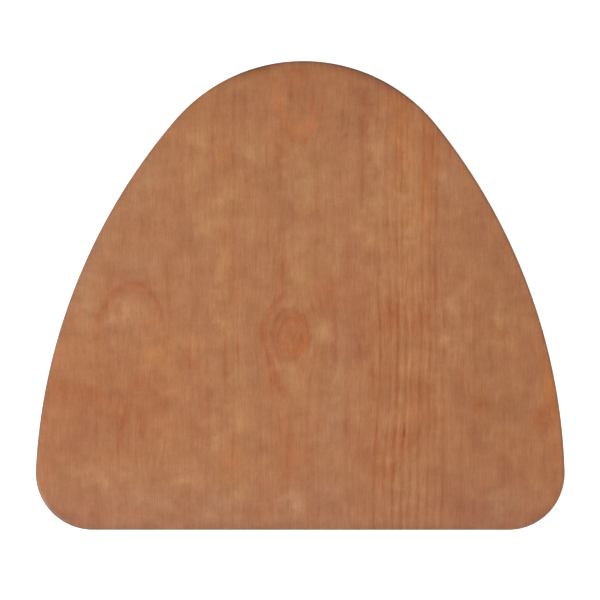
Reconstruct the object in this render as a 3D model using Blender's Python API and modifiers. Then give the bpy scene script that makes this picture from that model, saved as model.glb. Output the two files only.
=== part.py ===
"""Corner side table: a rounded triangular panel on three splayed, turned legs.

Each leg has a hanger bolt that screws into an angled pressed steel plate under the top, and a nylon
glide nailed to its foot. Metres, +Z up: the floor is Z = 0, the straight front edge faces -Y, and
the rounded nose, which points into the room's corner, faces +Y.
"""

import math

import bmesh
import bpy
from mathutils import Matrix, Vector

MM = 0.001

# Whole table
TABLE_HEIGHT = 550 * MM

# Top panel: a straight front, two round corners, two long side arcs and a round nose
TOP_WIDTH = 500 * MM
TOP_DEPTH = 443 * MM
TOP_THICKNESS = 18 * MM
CORNER_RADIUS = 54 * MM
SIDE_RADIUS = 548 * MM
NOSE_RADIUS = 161 * MM
EDGE_ROUND = 3 * MM

# Legs: turned, tapered, splayed outwards along the bearing of their corner
LEG_SPLAY = math.radians(9)
LEG_INSET = 95 * MM  # outline to the middle of the leg's plate
LEG_TOP_DIAMETER = 38 * MM
LEG_FOOT_DIAMETER = 22 * MM
LEG_TOP_CHAMFER = 1.5 * MM
CORNER_BEARING = math.radians(-45)
NOSE_BEARING = math.radians(90)

# Leg plates: a square flange pressed down in the middle to a tilted round pad
PLATE_THICKNESS = 2 * MM
PLATE_CORNER_RADIUS = 8 * MM
PAD_MARGIN = 3 * MM  # pad beyond the leg, all round
BOSS_WALL_RUN = 5 * MM  # width in plan of the sloping wall
BEND_RADIUS = 1.5 * MM  # on the inside of each bend
FLANGE_LIP = 6 * MM  # flange beyond the boss at the middle of each side
BOSS_HEADROOM = 1 * MM  # over the bolt's end
SCREW_EDGE = 7.5 * MM  # plate edge to screw axis

# Hex nut welded inside the pad, and the hanger bolt that joins it to the leg
NUT_ACROSS_FLATS = 13 * MM
NUT_HEIGHT = 6.5 * MM
NUT_CHAMFER = math.radians(30)
NUT_FACE_SHARE = 0.95  # flat end against the width across flats
BOLT_DIAMETER = 8 * MM
BOLT_PROUD = 1 * MM  # beyond the nut
BOLT_CHAMFER = 0.8 * MM
BOLT_MACHINE_IN_LEG = 4 * MM
BOLT_STEP = 0.4 * MM  # each side, from the machine part to the wood part
BOLT_WOOD_LENGTH = 34 * MM
BOLT_TIP_LENGTH = 6 * MM

# Countersunk screws that hold each plate to the panel
SCREW_DIAMETER = 4 * MM
SCREW_TIP_LENGTH = 3 * MM
COUNTERSINK_LAND = 0.2 * MM  # left of the flange above the screw's head
WOOD_OVER_SCREW = 4 * MM  # left of the panel above the pilot hole

# Glides, each nailed to a foot
GLIDE_MARGIN = 2 * MM  # foot beyond the glide, all round
GLIDE_WEB = 2.2 * MM  # what the nail's head holds
GLIDE_ROUND = 1 * MM
NAIL_DIAMETER = 2 * MM
NAIL_HEAD_DIAMETER = 5 * MM
NAIL_HEAD_THICKNESS = 0.8 * MM
NAIL_LENGTH = 16 * MM  # under the head
NAIL_TIP_LENGTH = 2.5 * MM
NAIL_SUNK = 0.7 * MM  # head above the floor

# Fits
SEAT_GAP = 0.3 * MM  # between pieces that rest on each other
HOLE_CLEARANCE = 0.3 * MM  # round what a hole holds
CUT_OVERRUN = 4 * MM

# How finely round shapes are faceted
CHORD_ERROR = 0.05 * MM
MERGE_DISTANCE = 0.01 * MM
EDGE_RESOLUTION = 2
LEG_STEPS = 32
GLIDE_STEPS = 24
FASTENER_STEPS = 14
PLATE_SIDE_STEPS = 8
PLATE_CORNER_STEPS = 4
BEND_STEPS = 2
SMOOTH_ANGLE = math.radians(35)

# Sizes that follow
PAD_RADIUS = LEG_TOP_DIAMETER / 2 + PAD_MARGIN
BOSS_RADIUS = PAD_RADIUS + BOSS_WALL_RUN
PLATE_HALF = BOSS_RADIUS + FLANGE_LIP
SCREW_REACH = PLATE_HALF - SCREW_EDGE
BOLT_RADIUS = BOLT_DIAMETER / 2
NUT_CORNER_RADIUS = NUT_ACROSS_FLATS / math.sqrt(3)
NUT_SEAT = PLATE_THICKNESS + SEAT_GAP  # above the pad's lower face, along the leg's axis
BOLT_TOP = NUT_SEAT + NUT_HEIGHT + BOLT_PROUD
BOSS_DEPTH = (
    BOLT_TOP * math.cos(LEG_SPLAY) + NUT_CORNER_RADIUS * math.sin(LEG_SPLAY) + BOSS_HEADROOM
)
PANEL_UNDERSIDE = TABLE_HEIGHT - TOP_THICKNESS
PLATE_LEVEL = PANEL_UNDERSIDE - SEAT_GAP
SCREW_HEAD_HEIGHT = PLATE_THICKNESS - COUNTERSINK_LAND
SCREW_HEAD_DIAMETER = SCREW_DIAMETER + 2 * SCREW_HEAD_HEIGHT  # a 90 degree head
SCREW_LENGTH = PLATE_THICKNESS + SEAT_GAP + TOP_THICKNESS - WOOD_OVER_SCREW - HOLE_CLEARANCE
GLIDE_RADIUS = LEG_FOOT_DIAMETER / 2 - GLIDE_MARGIN
NAIL_SEAT = NAIL_SUNK + NAIL_HEAD_THICKNESS  # where the head's upper face is
GLIDE_THICKNESS = NAIL_SEAT + SEAT_GAP + GLIDE_WEB
FOOT_LEVEL = GLIDE_THICKNESS + SEAT_GAP
LEG_LENGTH = (PLATE_LEVEL - BOSS_DEPTH - FOOT_LEVEL) / math.cos(LEG_SPLAY)  # pad to foot, on the axis
FOOT_REACH = LEG_LENGTH * math.sin(LEG_SPLAY)  # pad to foot, in plan


def on_circle(centre, radius, bearing):
    return centre + radius * Vector((math.cos(bearing), math.sin(bearing)))


def bearing_of(vector):
    return math.atan2(vector.y, vector.x)


def arc(centre, radius, start, end):
    """Points along an arc, both ends included, within the chord error of the true one."""
    widest = 2 * math.acos(1 - CHORD_ERROR / radius)
    count = math.ceil(abs(end - start) / widest)
    return [on_circle(centre, radius, start + (end - start) * i / count) for i in range(count + 1)]


def corner_centre():
    """Centre of the right front corner's arc."""
    return Vector((TOP_WIDTH / 2 - CORNER_RADIUS, CORNER_RADIUS - TOP_DEPTH / 2))


def nose_centre():
    return Vector((0, TOP_DEPTH / 2 - NOSE_RADIUS))


def side_centre():
    """Centre of the right side's arc, which touches the corner's arc and the nose's from outside them."""
    corner, nose = corner_centre(), nose_centre()
    to_corner = SIDE_RADIUS - CORNER_RADIUS
    to_nose = SIDE_RADIUS - NOSE_RADIUS
    span = (nose - corner).length
    along = (to_corner**2 - to_nose**2 + span**2) / (2 * span)
    aside = math.sqrt(to_corner**2 - along**2)
    line = (nose - corner) / span
    return corner + line * along + Vector((-line.y, line.x)) * aside


def top_outline():
    """The panel's outline, anticlockwise from the right end of the straight front."""
    corner, side, nose = corner_centre(), side_centre(), nose_centre()
    leaves_corner = bearing_of(corner - side)
    meets_nose = bearing_of(nose - side)
    right = arc(corner, CORNER_RADIUS, -math.pi / 2, leaves_corner)[:-1]
    right += arc(side, SIDE_RADIUS, leaves_corner, meets_nose)[:-1]
    right += arc(nose, NOSE_RADIUS, meets_nose, math.pi / 2)
    left = [Vector((-p.x, p.y)) for p in reversed(right[:-1])]
    return right + left


def leg_stations():
    """Each leg's name, the middle of its plate in plan, and the bearing that it splays along."""
    right = corner_centre()
    left = Vector((-right.x, right.y))
    corner_set_in = CORNER_RADIUS - LEG_INSET
    nose_set_in = NOSE_RADIUS - LEG_INSET
    mirrored = math.pi - CORNER_BEARING
    return [
        ("left", on_circle(left, corner_set_in, mirrored), mirrored),
        ("right", on_circle(right, corner_set_in, CORNER_BEARING), CORNER_BEARING),
        ("back", on_circle(nose_centre(), nose_set_in, NOSE_BEARING), NOSE_BEARING),
    ]


def leg_profile():
    """Radius and height of the turned leg in its own frame, run on past the foot for the mitre cut."""
    top, foot = LEG_TOP_DIAMETER / 2, LEG_FOOT_DIAMETER / 2
    taper = (top - foot) / LEG_LENGTH
    overrun = foot * math.tan(LEG_SPLAY) + CUT_OVERRUN
    return [
        (0, -SEAT_GAP),
        (top - LEG_TOP_CHAMFER, -SEAT_GAP),
        (top, -SEAT_GAP - LEG_TOP_CHAMFER),
        (foot - taper * overrun, -LEG_LENGTH - overrun),
        (0, -LEG_LENGTH - overrun),
    ]


def bolt_profile(clearance=0):
    """The hanger bolt in the leg's frame, or with a clearance the bore for it, run on past its end."""
    machine = BOLT_RADIUS + clearance
    wood = machine - BOLT_STEP
    tip = BOLT_MACHINE_IN_LEG + BOLT_WOOD_LENGTH
    end = BOLT_TOP + CUT_OVERRUN if clearance else BOLT_TOP
    return [
        (0, end),
        (machine - BOLT_CHAMFER, end),
        (machine, end - BOLT_CHAMFER),
        (machine, -BOLT_MACHINE_IN_LEG),
        (wood, -BOLT_MACHINE_IN_LEG - BOLT_STEP),
        (wood, BOLT_TIP_LENGTH - tip - clearance),
        (0, -tip - clearance),
    ]


def screw_profile(clearance=0):
    """A plate screw, point up from the flange's lower face, or with a clearance the hole for it."""
    shank = SCREW_DIAMETER / 2 + clearance
    head = SCREW_HEAD_DIAMETER / 2 + clearance
    mouth = [(head, -CUT_OVERRUN), (0, -CUT_OVERRUN)] if clearance else [(0, 0)]
    return [
        (0, SCREW_LENGTH + clearance),
        (shank, SCREW_LENGTH + clearance - SCREW_TIP_LENGTH),
        (shank, SCREW_HEAD_HEIGHT),
        (head, 0),
        *mouth,
    ]


def nail_profile(clearance=0):
    """A glide nail, point up from the floor, or with a clearance the hole for it."""
    shank = NAIL_DIAMETER / 2 + clearance
    head = NAIL_HEAD_DIAMETER / 2 + clearance
    point = NAIL_SEAT + NAIL_LENGTH + clearance
    return [
        (0, point),
        (shank, point - NAIL_TIP_LENGTH),
        (shank, NAIL_SEAT),
        (head, NAIL_SEAT),
        (head, NAIL_SUNK),
        (0, NAIL_SUNK),
    ]


def glide_profile():
    """Section of a glide: a disc on the floor with the nail's hole and a recess for its head."""
    hole = NAIL_DIAMETER / 2 + HOLE_CLEARANCE
    recess = NAIL_HEAD_DIAMETER / 2 + HOLE_CLEARANCE
    recess_top = NAIL_SEAT + SEAT_GAP
    rounding = [
        (GLIDE_RADIUS - GLIDE_ROUND + GLIDE_ROUND * math.cos(a), GLIDE_ROUND - GLIDE_ROUND * math.sin(a))
        for a in (0, math.pi / 6, math.pi / 3, math.pi / 2)
    ]
    return [
        (hole, GLIDE_THICKNESS),
        (GLIDE_RADIUS, GLIDE_THICKNESS),
        *rounding,
        (recess, 0),
        (recess, recess_top),
        (hole, recess_top),
    ]


def nut_blank():
    """The turned blank, widest at mid-height, that gives a hex nut its flat ends and its chamfers."""
    face = NUT_ACROSS_FLATS / 2 * NUT_FACE_SHARE
    half = NUT_HEIGHT / 2
    widest = face + half / math.tan(NUT_CHAMFER)
    top = NUT_SEAT + NUT_HEIGHT
    return [(0, top), (face, top), (widest, NUT_SEAT + half), (face, NUT_SEAT), (0, NUT_SEAT)]


def flange_outline():
    """A rounded square about the plate's middle, anticlockwise from the middle of its +X side."""
    straight = PLATE_HALF - PLATE_CORNER_RADIUS
    quarter = []
    sweep = math.atan2(straight, PLATE_HALF)
    for i in range(PLATE_SIDE_STEPS):
        angle = sweep * (2 * i / PLATE_SIDE_STEPS - 1)
        quarter.append(Vector((PLATE_HALF, PLATE_HALF * math.tan(angle))))
    middle = Vector((straight, straight))
    for i in range(PLATE_CORNER_STEPS):
        quarter.append(on_circle(middle, PLATE_CORNER_RADIUS, math.pi / 2 * i / PLATE_CORNER_STEPS))
    turns = [Matrix.Rotation(math.pi / 2 * k, 2) for k in range(4)]
    return [turn @ point for turn in turns for point in quarter]


def fillet(corner, arriving, leaving, radius):
    """Points of the arc of this radius that joins two directions across their corner."""
    turn = arriving.angle(leaving)
    aside = (leaving - arriving * math.cos(turn)) / math.sin(turn)
    start = corner - arriving * radius * math.tan(turn / 2)
    angles = [turn * i / BEND_STEPS for i in range(BEND_STEPS + 1)]
    return [start + radius * (arriving * math.sin(a) + aside * (1 - math.cos(a))) for a in angles]


def plate_column(edge):
    """The plate's lower face along one bearing: flange, bend, wall, bend, tilted pad, bolt hole."""
    bearing = bearing_of(edge)
    outwards = Vector((math.cos(bearing), math.sin(bearing)))
    slope = outwards.x * math.tan(LEG_SPLAY)
    flange_end = Vector((BOSS_RADIUS, -PLATE_THICKNESS))
    pad_end = Vector((PAD_RADIUS, PAD_RADIUS * slope - BOSS_DEPTH))
    on_flange = Vector((-1, 0))
    on_wall = (pad_end - flange_end).normalized()
    on_pad = Vector((-1, -slope)).normalized()
    bends = fillet(flange_end, on_flange, on_wall, BEND_RADIUS)
    bends += fillet(pad_end, on_wall, on_pad, BEND_RADIUS + PLATE_THICKNESS)
    hole = outwards * (BOLT_RADIUS + HOLE_CLEARANCE)
    column = [(*edge, -PLATE_THICKNESS)]
    column += [(*(outwards * radius), height) for radius, height in bends]
    return column + [pad_frame() @ Vector((*hole, 0))]


def pad_frame():
    """The leg's frame within its plate's: origin on the pad's lower face, +Z up the leg's axis."""
    return Matrix.Translation((0, 0, -BOSS_DEPTH)) @ Matrix.Rotation(-LEG_SPLAY, 4, "Y")


def finish(name, colour, roughness, metallic=0.0):
    material = bpy.data.materials.new(name)
    material.use_nodes = True
    shader = material.node_tree.nodes["Principled BSDF"]
    shader.inputs["Base Color"].default_value = (*colour, 1)
    shader.inputs["Roughness"].default_value = roughness
    shader.inputs["Metallic"].default_value = metallic
    return material


def placed(name, data, collection, frame=Matrix.Identity(4), parent=None):
    """A new object in this collection, with its place given in its parent's frame."""
    obj = bpy.data.objects.new(name, data)
    collection.objects.link(obj)
    obj.parent = parent
    obj.matrix_basis = frame
    return obj


def turned(name, profile, collection, frame, parent, steps=FASTENER_STEPS, closed=False):
    """A profile of radius and height, outer side downwards, turned about Z."""
    mesh = bpy.data.meshes.new(name)
    links = [(i, i + 1) for i in range(len(profile) - 1)]
    if closed:
        links.append((len(profile) - 1, 0))
    mesh.from_pydata([(radius, 0, height) for radius, height in profile], links, [])
    obj = placed(name, mesh, collection, frame, parent)
    screw = obj.modifiers.new("turn", "SCREW")
    screw.axis = "Z"
    screw.steps = screw.render_steps = steps
    screw.use_merge_vertices = True
    screw.merge_threshold = MERGE_DISTANCE
    return obj


def boolean(obj, operation, cutter):
    """Cuts obj with an object, or with every object of a collection."""
    modifier = obj.modifiers.new(operation.lower(), "BOOLEAN")
    modifier.operation = operation
    if isinstance(cutter, bpy.types.Collection):
        modifier.operand_type = "COLLECTION"
        modifier.collection = cutter
    else:
        modifier.object = cutter


def hide_cutter(obj):
    obj.hide_render = True
    obj.display_type = "WIRE"
    return obj


def top_panel(collection, parent):
    """The outline as a filled curve whose bevel is the eased edge, turned into a mesh to be drilled."""
    curve = bpy.data.curves.new("top_outline", "CURVE")
    curve.dimensions = "2D"
    curve.fill_mode = "BOTH"
    curve.bevel_depth = EDGE_ROUND
    curve.bevel_resolution = EDGE_RESOLUTION
    curve.offset = -EDGE_ROUND
    curve.extrude = TOP_THICKNESS / 2 - EDGE_ROUND
    outline = top_outline()
    spline = curve.splines.new("POLY")
    spline.points.add(len(outline) - 1)
    for point, place in zip(spline.points, outline):
        point.co = (place.x, place.y, 0, 1)
    spline.use_cyclic_u = True
    drawn = placed("top_outline", curve, collection)
    graph = bpy.context.evaluated_depsgraph_get()
    mesh = bpy.data.meshes.new_from_object(drawn.evaluated_get(graph))
    bpy.data.objects.remove(drawn)
    shape = bmesh.new()
    shape.from_mesh(mesh)
    bmesh.ops.remove_doubles(shape, verts=shape.verts, dist=MERGE_DISTANCE)
    shape.to_mesh(mesh)
    shape.free()
    middle = Matrix.Translation((0, 0, TABLE_HEIGHT - TOP_THICKNESS / 2))
    return placed("table_top", mesh, collection, middle, parent)


def leg_plate(name, collection, parent):
    """The pressed plate: its lower face lofted from the edge in to the hole, and given a thickness."""
    shape = bmesh.new()
    rings = zip(*(plate_column(edge) for edge in flange_outline()))
    loops = [[shape.verts.new(point) for point in ring] for ring in rings]
    for outer, inner in zip(loops, loops[1:]):
        for i in range(len(outer)):
            j = (i + 1) % len(outer)
            shape.faces.new((outer[i], inner[i], inner[j], outer[j]))
    mesh = bpy.data.meshes.new(name)
    shape.to_mesh(mesh)
    shape.free()
    obj = placed(name, mesh, collection, parent=parent)
    solidify = obj.modifiers.new("sheet", "SOLIDIFY")
    solidify.thickness = PLATE_THICKNESS
    solidify.offset = -1
    solidify.use_even_offset = True
    return obj


def plate_nut(name, collection, cutters, frame, parent):
    """A hex nut with chamfered ends, bored for the bolt."""
    mesh = bpy.data.meshes.new(name)
    shape = bmesh.new()
    bmesh.ops.create_cone(
        shape,
        cap_ends=True,
        segments=6,
        radius1=NUT_CORNER_RADIUS,
        radius2=NUT_CORNER_RADIUS,
        depth=NUT_HEIGHT + 2 * CUT_OVERRUN,
        matrix=Matrix.Translation((0, 0, NUT_SEAT + NUT_HEIGHT / 2)),
    )
    shape.to_mesh(mesh)
    shape.free()
    obj = placed(name, mesh, collection, frame, parent)
    blank = turned(f"{name}_blank", nut_blank(), cutters, frame, parent)
    bore = turned(f"{name}_bore", bolt_profile(HOLE_CLEARANCE), cutters, frame, parent)
    boolean(obj, "INTERSECT", hide_cutter(blank))
    boolean(obj, "DIFFERENCE", hide_cutter(bore))
    return obj


def floor_cutter(cutters, parent):
    """A slab under the level that the feet are sawn to."""
    depth = LEG_FOOT_DIAMETER + CUT_OVERRUN
    bpy.ops.mesh.primitive_cube_add(size=1)
    slab = bpy.context.object
    slab.name = "floor_cutter"
    slab.data.transform(Matrix.Diagonal((TOP_WIDTH * 2, TOP_DEPTH * 2, depth, 1)))
    for collection in slab.users_collection:
        collection.objects.unlink(slab)
    cutters.objects.link(slab)
    slab.parent = parent
    slab.location.z = FOOT_LEVEL - depth / 2
    return hide_cutter(slab)


def plate_screws(side, collection, holes, parent):
    """The four screws of a plate, and the cutters for their holes in the flange and the panel."""
    screws = []
    corners = [(1, 1), (-1, 1), (-1, -1), (1, -1)]
    for number, (x, y) in enumerate(corners, 1):
        frame = Matrix.Translation((x * SCREW_REACH, y * SCREW_REACH, -PLATE_THICKNESS))
        name = f"plate_screw_{side}_{number}"
        screws.append(turned(name, screw_profile(), collection, frame, parent))
        hole = turned(f"{name}_hole", screw_profile(HOLE_CLEARANCE), holes, frame, parent)
        hide_cutter(hole)
    return screws


def settle(obj, material):
    """Applies the modifiers, and shades the piece smooth except at its real edges."""
    graph = bpy.context.evaluated_depsgraph_get()
    mesh = bpy.data.meshes.new_from_object(obj.evaluated_get(graph))
    obj.modifiers.clear()
    obj.data = mesh
    mesh.materials.clear()
    mesh.materials.append(material)
    mesh.shade_smooth()
    mesh.set_sharp_from_angle(angle=SMOOTH_ANGLE)


def new_collection(name, parent=None):
    collection = bpy.data.collections.new(name)
    (parent or bpy.context.scene.collection).children.link(collection)
    return collection


def main():
    for obj in list(bpy.data.objects):
        bpy.data.objects.remove(obj)
    parts = new_collection("corner_side_table")
    cutters = new_collection("cutters")
    stained_top = finish("stained_pine_panel", (0.42, 0.18, 0.085), 0.5)
    stained_leg = finish("stained_solid_wood", (0.40, 0.17, 0.08), 0.5)
    zinc = finish("zinc_plated_steel", (0.62, 0.63, 0.64), 0.35, 1.0)
    nylon = finish("nylon", (0.72, 0.70, 0.66), 0.6)

    table = placed("table", None, parts)
    floor = floor_cutter(cutters, table)
    top = top_panel(parts, table)
    made = [(top, stained_top)]

    for side, middle, bearing in leg_stations():
        level = Matrix.Translation((middle.x, middle.y, PLATE_LEVEL))
        station = placed(f"{side}_station", None, parts, level @ Matrix.Rotation(bearing, 4, "Z"), table)
        holes = new_collection(f"{side}_screw_holes", cutters)
        plate = leg_plate(f"leg_plate_{side}", parts, station)
        screws = plate_screws(side, parts, holes, station)
        boolean(plate, "DIFFERENCE", holes)
        boolean(top, "DIFFERENCE", holes)

        on_pad = pad_frame()
        nut = plate_nut(f"plate_nut_{side}", parts, cutters, on_pad, station)
        bolt = turned(f"hanger_bolt_{side}", bolt_profile(), parts, on_pad, station)

        foot = middle + FOOT_REACH * Vector((math.cos(bearing), math.sin(bearing)))
        under_foot = Matrix.Translation((foot.x, foot.y, 0))
        leg = turned(f"leg_{side}", leg_profile(), parts, on_pad, station, LEG_STEPS)
        bore = turned(f"leg_bore_{side}", bolt_profile(HOLE_CLEARANCE), cutters, on_pad, station)
        nail_hole = turned(f"nail_hole_{side}", nail_profile(HOLE_CLEARANCE), cutters, under_foot, table)
        boolean(leg, "DIFFERENCE", floor)
        boolean(leg, "DIFFERENCE", hide_cutter(bore))
        boolean(leg, "DIFFERENCE", hide_cutter(nail_hole))

        glide = turned(f"foot_glide_{side}", glide_profile(), parts, under_foot, table, GLIDE_STEPS, True)
        nail = turned(f"glide_nail_{side}", nail_profile(), parts, under_foot, table)
        made += [(plate, zinc), (nut, zinc), (bolt, zinc), (leg, stained_leg), (glide, nylon), (nail, zinc)]
        made += [(screw, zinc) for screw in screws]

    for obj, material in made:
        settle(obj, material)


main()
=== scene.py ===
"""The looks of the corner side table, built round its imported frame.

The top is a stained panel faced with pine veneer, whose grain runs from the straight front edge (-Y)
to the rounded nose (+Y). Three turned legs of the same stain hang from zinc-plated pressed plates
and stand on nylon glides.

Places are in metres. The wood's figure is drawn in millimetres, in the plane of the top or along a
leg's own axis, and its shades are in levels of red, green and blue out of 255.
"""

import math

import bmesh
import bpy
from mathutils import Matrix, Vector


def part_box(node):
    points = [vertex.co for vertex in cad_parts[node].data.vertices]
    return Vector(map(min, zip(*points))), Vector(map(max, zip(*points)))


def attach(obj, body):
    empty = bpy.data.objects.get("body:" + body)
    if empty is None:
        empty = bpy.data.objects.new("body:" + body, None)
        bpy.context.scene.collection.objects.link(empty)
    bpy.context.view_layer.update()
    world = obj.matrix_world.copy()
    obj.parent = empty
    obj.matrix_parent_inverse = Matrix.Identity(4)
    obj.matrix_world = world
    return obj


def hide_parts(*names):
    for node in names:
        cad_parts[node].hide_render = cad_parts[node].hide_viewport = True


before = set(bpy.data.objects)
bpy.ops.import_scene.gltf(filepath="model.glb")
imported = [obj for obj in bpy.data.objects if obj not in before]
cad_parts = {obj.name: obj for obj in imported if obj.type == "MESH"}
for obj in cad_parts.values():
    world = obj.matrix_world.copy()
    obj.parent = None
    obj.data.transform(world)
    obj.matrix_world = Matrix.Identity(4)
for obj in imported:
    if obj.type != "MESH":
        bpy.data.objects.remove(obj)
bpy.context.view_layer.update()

MM = 0.001
SIDES = ("left", "right", "back")

# Camera: nearly straight down on the top
AIM = Vector((-4.65, -5.06)) * MM  # the middle of the picture, at the top's widest level
CAMERA_DISTANCE = 1599 * MM
CAMERA_LEAN = (math.radians(4.44), math.radians(1.35))  # to the left of the top, and to its front
CAMERA_ROLL = math.radians(0.51)
VIEW_WIDTH = 566.7 * MM  # what the picture spans at VIEW_DISTANCE
VIEW_DISTANCE = 1600 * MM

# Studio
OVERHEAD = {"place": (0.3, 0.5, 3.4), "size": 2.6, "power": 14}
KEY = {"place": (-3.5, -2.45, 4.85), "size": 2.0, "power": 248}
FILL = {"place": (1.6, -2.6, 1.2), "size": 1.6, "power": 12}
WORLD_STRENGTH = 0.42
FLOOR_SIZE = 40
FLOOR_GLOW = 0.73
FLOOR_ALBEDO = 0.8
FLOOR_ROUGHNESS = 0.9

# Top panel
TOP_LOW, TOP_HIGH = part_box("table_top")
CORNER_RADIUS = 54 * MM
SIDE_RADIUS = 548 * MM
NOSE_RADIUS = 161 * MM
EDGE_ROUND = 3 * MM
RIM_INSETS = (5 * MM, 8 * MM, 12 * MM, 18 * MM, 26 * MM)  # rings of the faces inside the rounded edge
CAP_SHARES = (0.8, 0.6, 0.4, 0.2)  # of the innermost ring, in to the middle
FRONT_STEPS = 20
CORNER_STEPS = 20
SIDE_STEPS = 36
NOSE_STEPS = 24
ROUND_STEPS = 8
PLY_COUNT = 7

# Legs
LEG_SPLAY = math.radians(9)
LEG_TOP_RADIUS = 19 * MM
LEG_FOOT_RADIUS = 11 * MM
LEG_SHOULDER = 1.8 * MM
LEG_FOOT_EASE = 0.8 * MM
LEG_STEPS = 64
SHAFT_RINGS = 12
SEAT_GAP = 0.3 * MM
PITH = (46, 19)  # mm, the tree's middle as seen from the leg's axis
LEG_RING_SPACING = 4.6  # mm

# Leg plates
PLATE_THICKNESS = 2 * MM
PLATE_HALF = 33 * MM
PLATE_CORNER_RADIUS = 8 * MM
PLATE_EDGE_EASE = 0.25 * MM
PLATE_EDGE_ANGLE = math.radians(60)  # edges that turn by more than this are eased
PAD_RADIUS = 22 * MM
BOSS_RADIUS = 27 * MM
BEND_RADIUS = 1.5 * MM
BOLT_HOLE_RADIUS = 4.3 * MM
SCREW_REACH = 25.5 * MM
PLATE_SIDE_STEPS = 16
PLATE_CORNER_STEPS = 8
BEND_STEPS = 5

# Screws, nails and glides, each about its own axis
SCREW_RADIUS = 2 * MM
SCREW_HEAD_RADIUS = 3.8 * MM
SCREW_HEAD_HEIGHT = 1.8 * MM
SCREW_LENGTH = 16 * MM
SCREW_TIP_LENGTH = 3 * MM
SCREW_HOLE_MARGIN = 0.3 * MM
RECESS_DEPTH = 1.7 * MM
RECESS_MOUTH = 2.73 * MM  # half the cutter's length, RECESS_DEPTH outside the head
RECESS_FLOOR = 0.735 * MM  # half its length at the bottom of the recess
RECESS_WIDTH_SHARE = 0.2  # of its length
RECESS_TURN = math.radians(20)
NAIL_RADIUS = 1 * MM
NAIL_HEAD_RADIUS = 2.5 * MM
NAIL_HEAD_THICKNESS = 0.8 * MM
NAIL_DOME_SHARE = 0.4  # of the head's thickness
NAIL_SUNK = 0.7 * MM
NAIL_LENGTH = 16 * MM
NAIL_TIP_LENGTH = 2.5 * MM
GLIDE_ROUND = 1 * MM
GLIDE_FACE_EASE = 0.25 * MM
GLIDE_HOLE_MARGIN = 0.3 * MM
GLIDE_STEPS = 56
FASTENER_STEPS = 32
DOME_STEPS = 6

SMOOTH_ANGLE = math.radians(32)

# Finishes: plain shades, roughness, and the depth of pores and marks
STAIN = (175.6, 120.1, 84.1)
BACK_STAIN = (162, 110, 78)
LEG_STAIN = (171, 115, 80)
ZINC = (196, 200, 205)
NYLON = (222, 217, 205)
LACQUERED = 0.48
BARE = 0.6
SHEET_ROUGHNESS = 0.34
FASTENER_ROUGHNESS = 0.27
NYLON_ROUGHNESS = 0.46
PORE_DEPTH = 0.012 * MM
BARE_PORE_DEPTH = 0.03 * MM
LEG_PORE_DEPTH = 0.02 * MM
DRAWING_MARK_DEPTH = 0.003 * MM
SCUFF_DEPTH = 0.02 * MM

# Light and colour
NOISE_GAIN = 4.0
STUDIO_LIGHT = 1.01  # what a white surface that faces up would show
SHEEN = 0.038  # what the lacquer mirrors of the studio, seen from above
DISPLAY_OFFSET = 0.055
DISPLAY_GAMMA = 2.4


# Meshes


def linked(name, data):
    """An object of this mesh, light or camera, in the scene."""
    obj = bpy.data.objects.new(name, data)
    bpy.context.scene.collection.objects.link(obj)
    return obj


def mesh_of(name, shape):
    """A mesh of a bmesh, which is freed."""
    mesh = bpy.data.meshes.new(name)
    shape.to_mesh(mesh)
    shape.free()
    return mesh


def loft(name, rings, closed=False, insets=None, outwards=True):
    """A mesh through rings of points, each with the same count, or a single point to end on.

    Each ring's inset is kept on its points. With outwards, the faces are turned to point out.
    """
    shape = bmesh.new()
    layer = shape.verts.layers.float.new("inset")
    loops = []
    for ring, inset in zip(rings, insets or [0] * len(rings)):
        loops.append([shape.verts.new(point) for point in ring])
        for vertex in loops[-1]:
            vertex[layer] = inset
    following = loops[1:] + loops[:1] if closed else loops[1:]
    for one, two in zip(loops, following):
        for i in range(max(len(one), len(two))):
            j = i + 1
            corners = [one[i % len(one)], one[j % len(one)], two[j % len(two)], two[i % len(two)]]
            shape.faces.new(list(dict.fromkeys(corners)))
    if outwards:
        bmesh.ops.recalc_face_normals(shape, faces=shape.faces)
    mesh = mesh_of(name, shape)
    smooth(mesh)
    return mesh


def reshaped(mesh, *steps):
    """The mesh after these modifiers, each given as its kind and settings."""
    obj = linked("blank", mesh)
    for kind, settings in steps:
        modifier = obj.modifiers.new(kind.lower(), kind)
        for name, value in settings.items():
            setattr(modifier, name, value)
    graph = bpy.context.evaluated_depsgraph_get()
    made = bpy.data.meshes.new_from_object(obj.evaluated_get(graph))
    bpy.data.objects.remove(obj)
    smooth(made)
    return made


def cut(mesh, tool):
    """The mesh less the tool's."""
    cutter = linked("cutter", tool)
    made = reshaped(mesh, ("BOOLEAN", {"operation": "DIFFERENCE", "object": cutter}))
    bpy.data.objects.remove(cutter)
    return made


def copies(name, mesh, places):
    """One mesh of a copy at each place."""
    shape = bmesh.new()
    for place in places:
        older = len(shape.verts)
        shape.from_mesh(mesh)
        shape.verts.ensure_lookup_table()
        bmesh.ops.transform(shape, matrix=place, verts=shape.verts[older:])
    return mesh_of(name, shape)


def smooth(mesh):
    mesh.shade_smooth()
    mesh.set_sharp_from_angle(angle=SMOOTH_ANGLE)


def circle(radius, height, steps):
    """Points round the Z axis, or the one point on it where the radius is 0."""
    if radius == 0:
        return [Vector((0, 0, height))]
    turns = [math.tau * i / steps for i in range(steps)]
    return [Vector((radius * math.cos(a), radius * math.sin(a), height)) for a in turns]


def turned(name, profile, steps, closed=False):
    """A mesh turned about Z from points of radius and height."""
    return loft(name, [circle(radius, height, steps) for radius, height in profile], closed)


def rounding(centre, radius, start, end, steps):
    """Points along an arc between two angles in degrees, both ends included."""
    angles = [math.radians(start + (end - start) * i / steps) for i in range(steps + 1)]
    return [Vector(centre) + radius * Vector((math.cos(a), math.sin(a))) for a in angles]


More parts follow.
